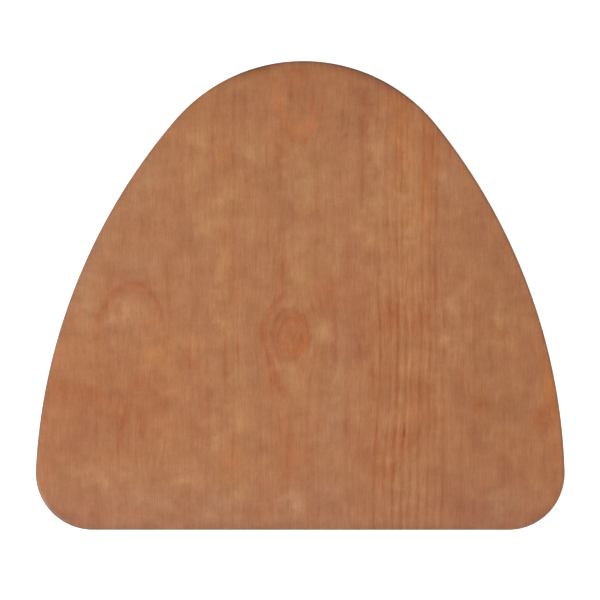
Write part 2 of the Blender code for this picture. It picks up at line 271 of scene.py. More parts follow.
def piece(name, mesh, replaced, materials, place=Matrix.Identity(4)):
    """Shows a mesh in place of a CAD node."""
    obj = linked(name, mesh)
    obj.matrix_world = place
    if not mesh.materials:
        for material in materials:
            mesh.materials.append(material)
    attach(obj, "root")
    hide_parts(replaced)


# Node graphs


class Field:
    """A number that varies over a surface, with Python's arithmetic. It stands for a node's output."""

    def __init__(self, graph, socket):
        self.graph = graph
        self.socket = socket

    def __add__(self, other):
        return self.graph.math("ADD", self, other)

    def __sub__(self, other):
        return self.graph.math("SUBTRACT", self, other)

    def __rsub__(self, other):
        return self.graph.math("SUBTRACT", other, self)

    def __mul__(self, other):
        return self.graph.math("MULTIPLY", self, other)

    def __truediv__(self, other):
        return self.graph.math("DIVIDE", self, other)

    def __pow__(self, other):
        return self.graph.math("POWER", self, other)

    def __abs__(self):
        return self.graph.math("ABSOLUTE", self)


class Graph:
    """The nodes of one material, whose colour is built up from a plain shade by tints."""

    def __init__(self, name, roughness, metallic=0.0):
        self.material = bpy.data.materials.new(name)
        self.material.use_nodes = True
        self.roughness = roughness
        self.tree = self.material.node_tree
        self.shader = self.tree.nodes["Principled BSDF"]
        self.shader.inputs["Roughness"].default_value = roughness
        self.shader.inputs["Metallic"].default_value = metallic

    def add(self, kind, *inputs, **settings):
        node = self.tree.nodes.new(kind)
        for name, value in settings.items():
            setattr(node, name, value)
        for socket, value in zip(node.inputs, inputs):
            self.feed(socket, value)
        return node

    def feed(self, socket, value):
        if isinstance(value, Field):
            self.tree.links.new(value.socket, socket)
        elif value is not None:
            socket.default_value = value

    def math(self, operation, *inputs):
        return Field(self, self.add("ShaderNodeMath", *inputs, operation=operation).outputs[0])

    def vector(self, operation, *inputs):
        node = self.add("ShaderNodeVectorMath", *inputs, operation=operation)
        return Field(self, node.outputs["Value" if operation == "DOT_PRODUCT" else "Vector"])

    def point(self, x, y, z=0.0):
        return Field(self, self.add("ShaderNodeCombineXYZ", x, y, z).outputs[0])

    def place(self):
        """The place on the piece in millimetres, as three numbers."""
        where = self.add("ShaderNodeTexCoord").outputs["Object"]
        scaled = self.vector("SCALE", Field(self, where))
        scaled.socket.node.inputs["Scale"].default_value = 1 / MM
        parts = self.add("ShaderNodeSeparateXYZ", scaled)
        return [Field(self, output) for output in parts.outputs]

    def normal(self):
        normal = self.add("ShaderNodeNewGeometry").outputs["Normal"]
        parts = self.add("ShaderNodeSeparateXYZ", Field(self, normal))
        return [Field(self, output) for output in parts.outputs]

    def attribute(self, name):
        return Field(self, self.add("ShaderNodeAttribute", attribute_name=name).outputs["Fac"])

    def texture(self, place, size, seed, detail, roughness):
        """A noise texture in as many dimensions as the place has numbers, with features of this size."""
        first, *others = [value / length for value, length in zip(place, size)]
        point = self.point(first + seed, *others)
        node = self.add("ShaderNodeTexNoise", point, noise_dimensions=f"{len(place)}D")
        node.inputs["Scale"].default_value = 1
        node.inputs["Detail"].default_value = detail
        node.inputs["Roughness"].default_value = roughness
        return node

    def noise(self, place, size, seed=0.0, detail=2.0, roughness=0.5):
        """Noise about 0, with most of its values within one."""
        node = self.texture(place, size, seed, detail, roughness)
        return self.math("MULTIPLY_ADD", Field(self, node.outputs["Fac"]), NOISE_GAIN, -NOISE_GAIN / 2)

    def dapple(self, place, size, levels, seed=0.0, detail=2.0, roughness=0.5):
        """Shifts red, green and blue by a noise each, of about so many levels."""
        node = self.texture(place, size, seed, detail, roughness)
        gains = tuple(level / 255 * NOISE_GAIN for level in levels)
        middle = tuple(-gain / 2 for gain in gains)
        shift = self.vector("MULTIPLY_ADD", Field(self, node.outputs["Color"]), gains, middle)
        self.colour = self.vector("ADD", self.colour, shift)

    def fade(self, amount):
        """1 where the amount is 0, falling off exponentially as it grows."""
        return self.math("POWER", 1 / math.e, amount)

    def reach_squared(self, point, x, y, across, along):
        """The square of the point's distance from (x, y), in half widths and half lengths."""
        scale = (1 / across, 1 / along, 0)
        shift = (-x / across, -y / along, 0)
        offset = self.vector("MULTIPLY_ADD", point, scale, shift)
        return self.vector("DOT_PRODUCT", offset, offset)

    def spot(self, point, *place):
        """1 at the middle of a place, falling off smoothly over its half width and half length."""
        return self.fade(self.reach_squared(point, *place))

    def spots(self, point, places):
        """The sum of several spots."""
        amount = self.spot(point, *places[0])
        for place in places[1:]:
            amount = amount + self.spot(point, *place)
        return amount

    def ridge(self, value, middle, half_width):
        """1 where the value is the middle one, falling off smoothly to both sides."""
        offset = (value - middle) / half_width
        return self.fade(offset * offset)

    def step(self, value, start, end):
        """Eases from 0 to 1 as the value goes from start to end."""
        node = self.add("ShaderNodeMapRange", value, start, end, interpolation_type="SMOOTHSTEP")
        return Field(self, node.outputs["Result"])

    def window(self, value, opening, closing):
        """1 between two ramps, each given as where it is 0 and where it reaches 1."""
        return self.step(value, *opening) * self.step(value, *closing)

    def shade(self, levels):
        """Starts the colour from a plain shade."""
        self.colour = tuple(level / 255 for level in levels)

    def tint(self, amount, levels):
        """Shifts the colour by so many levels where the amount is 1."""
        shift = self.vector("SCALE", tuple(level / 255 for level in levels))
        self.feed(shift.socket.node.inputs["Scale"], amount)
        self.colour = self.vector("ADD", self.colour, shift)

    def touches(self, point, places):
        """Tints at spots, each given as its place and levels."""
        for *place, levels in places:
            self.tint(self.spot(point, *place), levels)

    def paint(self, sheen=0.0):
        """Turns the display colour into the linear one that the shader takes, less its sheen."""
        offset = (DISPLAY_OFFSET,) * 3
        scale = (1 / (1 + DISPLAY_OFFSET),) * 3
        raised = self.vector("MULTIPLY", self.vector("ADD", self.colour, offset), scale)
        linear = Field(self, self.add("ShaderNodeGamma", raised, DISPLAY_GAMMA).outputs[0])
        matt = self.vector("MULTIPLY_ADD", linear, (1 / STUDIO_LIGHT,) * 3, (-sheen / STUDIO_LIGHT,) * 3)
        self.feed(self.shader.inputs["Base Color"], matt)

    def gloss(self, shift):
        """Varies the roughness about its plain value."""
        self.feed(self.shader.inputs["Roughness"], shift + self.roughness)

    def relief(self, height, depth):
        """Bump, with the depth in metres where the height is 1."""
        bump = self.add("ShaderNodeBump")
        bump.inputs["Strength"].default_value = 1
        bump.inputs["Distance"].default_value = depth
        self.feed(bump.inputs["Height"], height)
        self.feed(self.shader.inputs["Normal"], Field(self, bump.outputs[0]))


# Figure of the top's face veneer, where a place is (x, y, half width, half length)

LATEWOOD = (-8, -15, -14)
EARLYWOOD = (5, 6, 4)
CREAM = (7, 9, 4)
SAGE = (3, 7, 4)
MIST = (1, 6, 8)
HAZE = (-1, 1, 4)
CHALK = (8, 11, 9)
TAN = (6, 4, 0)
AMBER = (4, -1, -6)
RUST = (-1, -6, -6)
BROWN = (-4, -9, -9)
PLUM = (-5, -9, -5)
SLATE = (-6, -5, -2)
NAVY = (-8, -8, -4)
TEAL = (-7, -4, -2)

# Growth rings as (place across the grain, strength out of 10), nose half and front half
UPPER_RINGS = [
    (-117, 2), (-108, 2), (-77, 2.6), (-68, 4.5), (-57, 2.5), (-46, 2), (-35, 3), (-12, 2), (10, 2.6),
    (25, 2), (39, 2.6), (67, 3), (77, 4), (86, 4), (90.5, 5), (96, 5), (101.5, 3), (111, 6), (119, 4),
    (124.5, 5), (136, 2.5), (150, 2),
]
LOWER_RINGS = [
    (-193, 2), (-181, 2.4), (-173, 3), (-157, 2), (-131, 2.4), (-107, 2.6), (-92, 2.6), (-79, 2),
    (-67, 4), (-41, 2.4), (-30, 2.4), (4, 2.6), (14.5, 2.6), (50.5, 3), (66.5, 9), (76.5, 5), (84.5, 9),
    (93, 6), (99.5, 4.5), (108.5, 8), (118, 4.5), (124, 3), (132, 4.5), (151, 2.5), (163, 3), (190, 2),
]
PALE_RINGS = [(-60, 4), (61, 4), (71, 6), (80.5, 5), (89, 8), (96.5, 6), (104, 7), (114, 5), (128, 5)]
RING_HALF_WIDTH = 2.6
RING_GAP_SHARE = 0.48  # the most that a ring's half width takes of the gap to the next
RINGS_A_RAMP = 10

# Short stretches of ring, each a place and its strength out of 10
SHORT_RINGS = [
    (-88, 128, 2, 45, 6), (-23, 89, 2, 40, 6), (53, 130, 3, 70, 4), (32, 168, 1.8, 22, 3),
    (55, 155, 2.2, 11, 5), (-15, -165, 2.2, 60, 5), (205, -49, 2, 20, 4), (229, -144, 2, 35, 3),
    (-109, -54, 1.8, 18, 3), (-133, 8, 3.2, 27, 4.5), (-71, 20, 2, 50, 4), (-21, 24, 2.2, 28, 6),
    (-28, 18, 2.4, 20, 6), (124, 20, 3.2, 36, 4), (116, -20, 2.6, 24, 4), (115, 120, 3.4, 50, 2),
    (60, -80, 2.2, 26, 5), (-75, -66, 2.2, 40, 7), (-62, -60, 2, 36, 6), (-100, -72, 2, 30, 5),
    (39, -132, 2.4, 40, 5), (8, -170, 2.4, 30, 6), (60.5, -60, 2.4, 36, 7), (57, -10, 2.2, 28, 6),
    (4, -112, 1.8, 28, 4), (-3, -100, 1.6, 24, 3), (71, -76, 2, 34, 6), (94, -70, 1.8, 40, 3),
    (104, -118, 1.8, 34, 3), (68, -130, 2, 30, 4), (90, -128, 1.8, 34, 3),
]

# Stain clouds as (shade, places)
CLOUDS = [
    (CREAM, [
        (-77, -3, 8, 14), (-72, -33, 9, 14), (-70, 92, 14, 14), (-98, 150, 14, 12), (-100, 120, 10, 14),
        (-92, 70, 16, 13), (-78, 30, 8, 16), (-60, -118, 10, 16), (-6, -86, 13, 18), (98, 108, 9, 24),
        (102, 60, 9, 26),
    ]),
    (SAGE, [
        (-52, 60, 9, 12), (-62, -78, 9, 12), (-63, -182, 15, 11), (72, 90, 12, 14), (-8, 50, 12, 12),
        (-3, 106, 20, 24), (27, 42, 8, 16), (190, -27, 10, 22), (33, -85, 5, 24), (-10, 18, 10, 14),
        (100, -180, 11, 12), (62, 66, 10, 24), (-46, 136, 12, 14),
    ]),
    (MIST, [
        (-150, 113, 14, 14), (-165, 88, 12, 10), (-192, 55, 10, 26), (-206, 8, 8, 24), (-152, 27, 20, 11),
        (-150, -194, 26, 10), (-80, -200, 26, 12), (138, 104, 11, 15), (-10, -200, 10, 12),
        (190, -195, 20, 12),
    ]),
    (HAZE, [
        (26, -124, 14, 34), (22, -184, 18, 22), (34, -60, 8, 26),
    ]),
    (CHALK, [
        (-203, -15, 10, 10), (-164, -18, 14, 16), (-197, -172, 16, 11), (-170, -172, 13, 9),
        (-107, -172, 14, 9), (68, 135, 9, 14), (-80, -138, 7, 10), (-8, -192, 8, 9), (140, -5, 6, 9),
        (139, -42, 6, 11),
    ]),
    (TAN, [
        (98, 148, 8, 20), (-127, -50, 10, 14), (-138, -61, 16, 11), (-123, -86, 9, 13), (98, 4, 12, 14),
        (103, -62, 9, 12), (-130, -125, 10, 12), (95, -112, 11, 10), (-222, -55, 16, 12), (-106, -44, 9, 9),
    ]),
    (AMBER, [
        (87, 135, 4, 34), (88, 178, 8, 14), (-78, 130, 4, 14), (-76, 42, 3, 18), (237, -86, 8, 20),
        (114, 100, 5, 45), (-65, 12, 3, 22), (-67, -160, 10, 12),
    ]),
    (RUST, [
        (-196, -96, 13, 12), (-152, -86, 12, 10), (-140, -104, 13, 12), (-32, -82, 7, 16), (79, -19, 9, 12),
        (85, -78, 8, 20), (93, -138, 14, 14), (-12, -153, 15, 18), (-22, -124, 8, 16), (24, 8, 9, 14),
        (120, -115, 12, 12),
    ]),
    (BROWN, [
        (83, -22, 14, 16), (108, -26, 9, 12), (185, -31, 7, 7), (168, -104, 9, 8), (-224, -92, 13, 12),
        (-172, -113, 10, 11), (-108, -68, 11, 7), (112, -89, 11, 13), (73, -166, 11, 13),
        (226, -117, 8, 12), (120, 140, 5, 26), (-28, 134, 7, 20),
    ]),
    (PLUM, [
        (50, -8, 9, 20), (50, -46, 8, 13), (55, -146, 12, 11), (-160, 2, 16, 8), (56, 170, 4, 20),
        (51, -57, 5, 9), (-100, -126, 9, 9), (-94, -104, 8, 10), (44, 38, 7, 14),
    ]),
    (SLATE, [
        (-154, 69, 14, 9), (-110, 54, 11, 13), (-60, 184, 9, 9), (36, 166, 9, 15), (50, 168, 6, 26),
        (54, 116, 6, 28), (-185, -134, 12, 11), (156, 74, 15, 10), (-18, 79, 8, 10), (124, 26, 9, 13),
        (160, 50, 18, 11), (-125, -206, 10, 8), (27, -200, 12, 9), (-44, -146, 8, 12), (212, -70, 11, 10),
        (200, 8, 10, 13), (-218, -172, 12, 12), (127, -168, 11, 13), (148, -98, 9, 11), (54, 193, 12, 10),
        (-205, -124, 10, 10), (-212, -142, 9, 13), (-173, -95, 9, 8),
    ]),
    (NAVY, [
        (156, -190, 17, 18), (172, -206, 20, 9), (195, -168, 17, 12), (165, -136, 9, 16),
        (-216, -208, 18, 7),
    ]),
    (TEAL, [
        (170, -60, 10, 15), (176, -10, 12, 15), (184, 35, 13, 13), (168, 88, 8, 11), (195, -110, 22, 20),
        (-30, 100, 7, 16),
    ]),
]

# Where the grain bows round knots, each a place and the share of the way out
BOWS = [
    (-10, -40, 32, 30, 0.6), (-8, 185, 32, 40, 0.4), (-163, -22, 34, 40, 0.35), (-160, -119, 20, 18, 0.4),
]
SWERVE = (74, -60, 22, 62, 6.5)  # a stretch of the close rings that swings out

# Knots, arches and marks; a touch of shade is a place and its levels
KNOT = (-14, -38, 18.5, 25)
KNOT_CORE = (-11, -38, 17, 21.5)
KNOT_SMUDGE = (21, 0, 9, 10)
KNOT_TOUCHES = [
    (-19, -38, 5, 6, (5, 6, 6)), (-22, -20, 7, 8, (-7, -6, -4)), (-5, -18, 8, 5, (-2, -6, -5)),
    (-4, -53, 8, 7, (5, 1, -2)), (-19, -53, 8, 6, (4, 2, 1)), (17, -36, 8, 8, (9, 12, 8)),
    (20, -35, 4, 7, (4, 5, 5)), (15.5, -14, 9, 9, (-9, -11, -9)), (31, 12, 9, 4, (-4, -5, -2)),
    (0, 12, 14, 12, (4, 5, 1)), (18, -61, 7, 9, (-3, -5, -4)),
]
NOSE_KNOT = (-8.5, 190, 25, 26, 46)  # its middle, and its reach to each side, to the back and front
NOSE_KNOT_CROWN = (-6, 208, 17, 12)
NOSE_KNOT_TOUCHES = [(-15, 187, 3, 16, (-5, -7, -5)), (5, 184, 5, 16, (-3, -6, -4))]
ARCH = (-163.3, -36, 30.5, 46.5)
ARCH_TOUCHES = [
    (-147, 1, 5, 5, (-4, -5, -4)), (-162, 20, 24, 8, (-5, -6, -4)), (-131, -47, 1.6, 12, (2, -2, -5)),
    (-183, -34, 6, 7, (-4, -4, 0)), (-143, -24, 5, 8, (5, 1, -4)), (-143, -58, 8, 7, (3, 4, 0)),
    (-160, -107, 9, 4, (-3, -5, -4)),
]
SMALL_ARCH_LEGS = [(-169.5, -124, 3.8, 19, 0.2), (-152.5, -124, 3.8, 14, -0.1)]  # place and lean
MARKS = [  # two pin knots and a resin streak
    (37, 151, 2.5, 2.7, (-13, -13, -9)), (-59, 184, 2.2, 2.2, (-6, -6, -3)),
    (95, -129, 1.0, 6, (-25, -25, -18)),
]
WIDE_TOUCHES = [(95, 95, 40, 90, (3, 2, 1)), (-205, -110, 70, 60, (-2, -5, -5))]
CRISP_GRAIN = (88, -70, 44, 190)

# Places along the rim for its painted shade, and touches of painted light and shade there
NOSE_FLANKS = [(-45, 208, 26, 30), (42, 205, 52, 40)]
NOSE_TIP = (-10, 222, 50, 30)
LEFT_CORNER = (-245, -130, 40, 60)
RIGHT_CORNER = (235, -100, 60, 60)
PAINTED_RIM_TOUCHES = [
    (160, -222, 70, 34, (4, 5, 5)), (72, 198, 22, 16, (-8, -7, -3)), (0, 222, 34, 22, (-1, 0, 0)),
]

# On the underside
BACK_KNOT = (70, 40, 8, 11)
BACK_BOW = (70, 40, 26, 34, 0.6)
BACK_RING_SPACING = 11


def growth_rings(graph, across, rings):
    """How strongly the latewood of these rings shows, on ramps short enough to keep them sharp."""
    total = None
    for start in range(0, len(rings), RINGS_A_RAMP):
        group = rings[start:start + RINGS_A_RAMP]
        low = group[0][0] - 2 * RING_HALF_WIDTH
        high = group[-1][0] + 2 * RING_HALF_WIDTH
        node = graph.add("ShaderNodeValToRGB", (across - low) / (high - low))
        ramp = node.color_ramp
        ramp.interpolation = "EASE"
        for stop in ramp.elements:
            stop.alpha = 0
        for i, (place, strength) in enumerate(group):
            gaps = [abs(place - other) for other, _ in group if other != place]
            half = min([RING_HALF_WIDTH] + [gap * RING_GAP_SHARE for gap in gaps])
            for shift, level in ((-half, 0), (0, strength / 10), (half, 0)):
                stop = ramp.elements.new((place + shift - low) / (high - low))
                stop.alpha = level
        shown = Field(graph, node.outputs["Alpha"])
        total = shown if total is None else total + shown
    return total


def bowed(graph, x, point):
    """The place across the grain, which bows out round each knot."""
    across = x
    for *place, share in BOWS:
        across = across - (x - place[0]) * (graph.spot(point, *place) * share)
    *place, reach = SWERVE
    return across - graph.spot(point, *place) * reach


def face_figure(graph, x, y):
    """The figure of the face veneer: mottle, streaks and rings. Returns the place across the grain."""
    place = (x, y)
    point = graph.point(x, y)
    across = bowed(graph, x, point) + graph.noise(place, (60, 90), 3) * 1.6
    grain = (across, y)

    wide = graph.noise(place, (34, 34), 11, detail=3)
    mottle = graph.noise((x + y * 0.2545, y - x * 0.26), (14, 13), 17, detail=3)
    cloud = graph.noise((x + y * 0.35, y - x * 0.3143), (21, 22), 101)
    flame = graph.noise(place, (24, 9), 83, detail=3)
    fleck = graph.noise((x + y * 0.4182, y - x * 0.3667), (4.6, 4.4), 7, detail=3)
    graph.tint(wide, (1.4, 1.4, 1.0))
    graph.tint(mottle, (3.6, 3.5, 2.8))
    graph.tint(cloud, (3.2, 3.3, 2.6))
    graph.tint(flame, (1.4, 1.6, 1.5))
    graph.tint(fleck, (1.8, 1.3, 1.2))
    shifted = graph.point(x + mottle * 6, y + cloud * 5)
    uneven = mottle * 0.35 + 1.0
    for levels, places in CLOUDS:
        graph.tint(graph.spots(shifted, places) * uneven, levels)
    graph.dapple(place, (22, 30), (0.7, 0.6, 0.7), 5)
    graph.dapple(place, (4.2, 12), (2.7, 1.8, 2.2), 13, detail=3, roughness=0.65)

    band = graph.noise(grain, (9, 150), 23)
    coarse = graph.noise(grain, (2.4, 38), 29, detail=3)
    fine = graph.noise(grain, (1.2, 15), 31, detail=3, roughness=0.6)
    grit = graph.noise(place, (1.1, 1.2), 97, detail=1)
    crisp = graph.spot(point, *CRISP_GRAIN)
    graph.tint(band, (1.6, 1.8, 1.6))
    graph.tint(coarse * (cloud * 0.5 + 1.0) * (crisp * 0.9 + 1.0), (2.8, 2.0, 1.8))
    graph.tint(fine * (mottle * 0.3 + 1.0) * (crisp * 0.4 + 1.0), (5.4, 4.5, 4.5))
    graph.tint(grit, (4.8, 4.2, 4.2))

    breaks = graph.noise(grain, (5, 32), 37)
    upper = growth_rings(graph, across, UPPER_RINGS)
    lower = growth_rings(graph, across, LOWER_RINGS)
    rings = lower + (upper - lower) * graph.step(y, -16, 6)
    streaked = graph.point(across, y)
    for *place, strength in SHORT_RINGS:
        rings = rings + graph.spot(streaked, *place) * (strength / 10)
    graph.tint(rings * (breaks * 0.6 + 0.9), LATEWOOD)
    pale = growth_rings(graph, across, PALE_RINGS) * (breaks * -0.4 + 0.9)
    graph.tint(pale * graph.step(y, 170, 60), EARLYWOOD)
    graph.dapple(grain, (3, 44), (1.2, 1.0, 0.9), 43)
    return across


def centre_knot(graph, x, y):
    """A ringed brown knot with an orange foot, and an eye of clear wood beside it."""
    ragged = graph.noise((x, y), (7, 9), 41, detail=3)
    point = graph.point(x + ragged * 1.8, y + ragged * 2.4)
    reach = graph.reach_squared(point, *KNOT) ** 0.5
    inside = graph.step(reach, 1.1, 0.75)
    graph.tint(graph.ridge(reach, 1.25, 0.16) * graph.step(x, 0, -20), (4, 5, 3))
    graph.tint(inside, (-2, -4, -3))
    core = graph.step(graph.spot(point, *KNOT_CORE), 0.25, 0.55)
    graph.tint(core * (ragged * 0.5 + 1.0), (-1, -7, -8))
    graph.tint(graph.ridge(reach, 0.58, 0.12) * inside, (-2, -4, -3))
    graph.tint(graph.ridge(reach, 0.95, 0.1), (-3, -5, -4))
    graph.tint(graph.ridge(reach, 0.85, 0.14) * graph.step(x, -16, -2), (1, -2, -3))
    graph.touches(point, KNOT_TOUCHES)
    graph.tint(graph.spot(point, *KNOT_SMUDGE) * (ragged * 0.6 + 0.9), (1, -3, -4))
    bent_wood(graph, x, y, ragged)


def bent_wood(graph, x, y, ragged):
    """Dark lines bent round the centre knot: two on its left, which swing in before it, and one right."""
    before = graph.math("MAXIMUM", -34.0 - y, 0.0) / 55
    swung = x + ragged * 1.4 - graph.step(y, -38, 8) * 19 - before ** 1.3 * 17
    outer = graph.window(y, (-104, -84), (45, 0))
    inner = graph.window(y, (-90, -60), (5, -16))
    graph.tint(graph.ridge(swung, -40.0, 4.4) * outer * (ragged * 0.4 + 1.0), (-5, -11, -8))
    graph.tint(graph.ridge(swung, -30.5, 2.4) * inner * (ragged * -0.5 + 1.0), (-4, -8, -6))
    graph.tint(graph.ridge(swung, -38.0, 7.0) * outer, (-1, -3, -3))
    right = graph.ridge(x + ragged * 2.0, 28.5, 2.4)
    graph.tint(right * graph.window(y, (-84, -60), (4, -16)), (-4, -10, -7))


def nose_knot(graph, x, y):
    """The teardrop of a cut branch at the nose, drawn to an orange point towards the front."""
    ragged = graph.noise((x, y), (9, 12), 43)
    middle_x, middle_y, side, back, front = NOSE_KNOT
    dy = y + ragged * 1.4 - middle_y
    above = graph.math("MAXIMUM", dy, 0.0) / back
    below = abs(graph.math("MINIMUM", dy, 0.0)) / front
    dx = (x + ragged * 1.2 - middle_x - below ** 3.0 * 3.5) / side
    reach = abs(dx) ** 1.5 + above * above + below ** 1.65
    inside = graph.step(reach, 1.08, 0.92)
    lower = graph.step(y + x * 0.6, 196, 168)
    band = graph.step(reach, 0.34, 0.66) * inside * lower
    graph.tint(band * (ragged * 0.4 + 1.0), (5, -2, -4))
    rim = graph.ridge(reach, 1.0, 0.1) * graph.step(y, 212, 180)
    graph.tint(rim * (ragged * 0.5 + 0.9), (2, -3, -3))
    point = graph.point(x, y)
    graph.tint(graph.spot(point, *NOSE_KNOT_CROWN) * (ragged * 0.4 + 1.0), (-6, -10, -8))
    graph.touches(point, NOSE_KNOT_TOUCHES)


def arch(graph, x, y):
    """The arch of a grown-over branch on the left, pale inside, and a smaller one in front of it."""
    ragged = graph.noise((x, y), (6, 8), 47, detail=3)
    middle_x, middle_y, half_width, half_length = ARCH
    dx = (x + ragged * 1.2 - middle_x) / half_width
    dy = (y + ragged * 1.2 - middle_y) / half_length
    right = graph.step(x, -172, -148)
    reach = (abs(dx) ** (right * 0.5 + 1.3) + dy * dy) ** 0.5
    shown = graph.step(y - (x - middle_x) * 0.2, -44, -33)
    graph.tint(graph.ridge(reach, 1.0, 0.075) * shown * (right * 0.3 + 0.7 + ragged * 0.4), (-5, -10, -9))
    graph.tint(graph.ridge(reach, 0.99, 0.12) * shown * graph.step(x, -150, -178), (-1, -3, -3))
    graph.touches(graph.point(x, y), ARCH_TOUCHES)
    for *place, lean in SMALL_ARCH_LEGS:
        leaned = graph.point(x + ragged * 2 - (y - place[1]) * lean, y)
        graph.tint(graph.spot(leaned, *place) * (ragged * 0.7 + 1.0), (-5, -9, -7))


def plies(graph, x, y, z):
    """The panel's edge: plies with turns of long grain and end grain, and the glue between them."""
    thickness = (TOP_HIGH.z - TOP_LOW.z) / MM / PLY_COUNT
    below = TOP_HIGH.z / MM - z
    shown = graph.step(below, thickness - 0.2, thickness + 0.2)
    count = below / thickness
    turn = graph.math("FLOORED_MODULO", graph.math("FLOOR", count), 2.0)
    across_y = graph.normal()[1]
    facing = across_y * across_y
    end_grain = facing + turn - facing * turn * 2
    band = graph.noise((x, y, z), (14, 14, 0.35))
    speckle = graph.noise((x, y, z), (0.9, 0.9, 0.7), detail=3)
    graph.tint(shown * (end_grain * 26 + 8), (-1, -1, -0.8))
    graph.tint(shown * end_grain * speckle, (9, 8, 6))
    graph.tint(shown * (1.0 - end_grain) * band, (7, 6, 5))
    glue = abs(graph.math("FRACT", count + 0.5) - 0.5)
    graph.tint(shown * graph.step(glue, 0.07, 0.02), (-24, -22, -17))


def painted_rim_shade(graph, x, y, z):
    """Painted shade on the rounded edge and beside it, at the nose, along the front and at the corners, where
    the edge turns from the light; the edge is also tinted cooler.
    """
    inset = graph.attribute("inset") / MM
    below = TOP_HIGH.z / MM - z
    point = graph.point(x, y)
    edge = graph.fade(inset / 1.4) * graph.step(below, 7, 3)
    near = graph.step(inset, 12, 1)

    def shade(where, beside, on_edge):
        graph.tint(near * where, beside)
        graph.tint(edge * where, on_edge)

    # The edge itself is tinted cooler and greyer
    graph.tint(edge, (-19, -5, 9))
    # Painted shade where the rounded edge turns from the light: along the front, at the nose, on the right
    # side and at the left corner
    shade(graph.step(y, -190, -212), (-8, -6, -2), (-23, -9, -11))
    shade(graph.spots(point, NOSE_FLANKS), (-17, -15, -9), (-22, -13, -5))
    shade(graph.step(x, 60, 150), (-1, -3, -3), (-2, 1, 2))
    shade(graph.spot(point, *LEFT_CORNER), (3, -2, -4), (-14, -10, -8))
    # Touches of painted light and shade beside the edge
    for *place, levels in PAINTED_RIM_TOUCHES:
        graph.tint(near * graph.spot(point, *place), levels)
    # More painted shade on the edge at the nose's tip, and a cooler tint on the left side's edge
    graph.tint(edge * graph.spot(point, *NOSE_TIP), (-6, -3, -1))
    graph.tint(edge * graph.step(x, -120, -200), (-10, -2, 4))
    # A warmer band in from the edge at the right corner
    orange = graph.ridge(inset, 6.0, 5.0)
    graph.tint(orange * graph.spot(point, *RIGHT_CORNER), (7, 1, -3))


def top_face_material():
    """The plainest tints come first: Cycles runs short of stack where many wait for one on noise of noise."""
    graph = Graph("stained_pine_face", LACQUERED)
    x, y, z = graph.place()
    graph.shade(STAIN)
    # Darker towards the nose, the right side and the front
    graph.tint(graph.step(y, 120, 210), (-3, -3, -3))
    graph.tint(graph.step(x, 0, 240), (-3, -3, -2))
    graph.tint(graph.step(y, -150, -215), (-3, -2, 2))
    graph.touches(graph.point(x, y), WIDE_TOUCHES)
    painted_rim_shade(graph, x, y, z)
    graph.touches(graph.point(x, y), MARKS)
    plies(graph, x, y, z)
    arch(graph, x, y)
    nose_knot(graph, x, y)
    centre_knot(graph, x, y)
    across = face_figure(graph, x, y)
    graph.paint(SHEEN)
    pores = graph.noise((across, y), (0.8, 14), 53, detail=3, roughness=0.6)
    lacquer = graph.noise((x, y), (45, 45), 59, detail=3)
    graph.gloss(pores * 0.03 + lacquer * 0.025)
    graph.relief(pores, PORE_DEPTH)
    return graph.material


def underside_material():
    """Pine with a knot and plain rings, stained but not lacquered."""
    graph = Graph("stained_pine_back", BARE)
    x, y, _ = graph.place()
    graph.shade(BACK_STAIN)
    point = graph.point(x, y)
    *place, share = BACK_BOW
    across = x - (x - place[0]) * (graph.spot(point, *place) * share) + graph.noise((x, y), (70, 120), 61) * 3
    spacing = graph.noise((across, y), (60, 900), 67) * 2
    turn = graph.math("FRACT", across / BACK_RING_SPACING + spacing)
    graph.tint(graph.window(turn, (0.45, 0.93), (1.0, 0.95)), (-12, -19, -18))
    graph.tint(graph.noise((across, y), (1.4, 40), 71, detail=3), (5, 6, 6))
    graph.tint(graph.noise((x, y), (38, 38), 73, detail=3), (6, 6, 4))
    graph.tint(graph.spot(point, *BACK_KNOT), (-26, -34, -28))
    graph.paint(SHEEN)
    pores = graph.noise((across, y), (0.9, 16), 79, detail=3)
    graph.gloss(pores * 0.04)
    graph.relief(pores, BARE_PORE_DEPTH)
    return graph.material


def top_outline(inset):
    """The top's outline set in, anticlockwise from the middle of the straight front."""
    corner = Vector((TOP_HIGH.x - CORNER_RADIUS, TOP_LOW.y + CORNER_RADIUS))
    nose = Vector((0, TOP_HIGH.y - NOSE_RADIUS))
    to_corner = SIDE_RADIUS - CORNER_RADIUS
    to_nose = SIDE_RADIUS - NOSE_RADIUS
    span = (nose - corner).length
    along = (to_corner**2 - to_nose**2 + span**2) / (2 * span)
    line = (nose - corner) / span
    side = corner + line * along + Vector((-line.y, line.x)) * math.sqrt(to_corner**2 - along**2)
    leaves = math.degrees(math.atan2(*reversed(corner - side)))
    meets = math.degrees(math.atan2(*reversed(nose - side)))
    right = [Vector((corner.x * i / FRONT_STEPS, TOP_LOW.y + inset)) for i in range(FRONT_STEPS)]
    right += rounding(corner, CORNER_RADIUS - inset, -90, leaves, CORNER_STEPS)[:-1]
    right += rounding(side, SIDE_RADIUS - inset, leaves, meets, SIDE_STEPS)[:-1]
    right += rounding(nose, NOSE_RADIUS - inset, meets, 90, NOSE_STEPS)
    return right + [Vector((-p.x, p.y)) for p in reversed(right[1:-1])]


